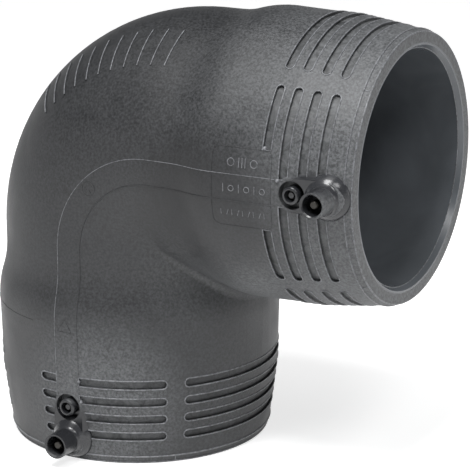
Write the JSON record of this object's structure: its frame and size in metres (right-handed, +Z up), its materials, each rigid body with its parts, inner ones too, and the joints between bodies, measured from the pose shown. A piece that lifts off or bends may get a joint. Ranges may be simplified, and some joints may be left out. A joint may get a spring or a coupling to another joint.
{
  "type": "electrofusion elbow",
  "caption": "Right-angle polyethylene pipe elbow with electrofusion sockets, shrouded terminals and fusion indicators.",
  "frame": {"origin": "centre of the lower socket's mouth", "axes": "+Z up along the lower socket's axis, +X out of the upper socket's mouth, -Y towards the terminals"},
  "size_m": [0.216, 0.1491, 0.216],
  "materials": {
    "black_polyethylene": "satin",
    "resistance_wire": "satin",
    "terminal_brass": "satin",
    "indicator_plastic": "satin"
  },
  "bodies": {
    "root": {"elbow_body": "black_polyethylene", "heating_wire": "resistance_wire", "terminal_pin_lower": "terminal_brass", "terminal_pin_upper": "terminal_brass", "fusion_indicator_lower": "indicator_plastic", "fusion_indicator_upper": "indicator_plastic"}
  },
  "joints": []
}
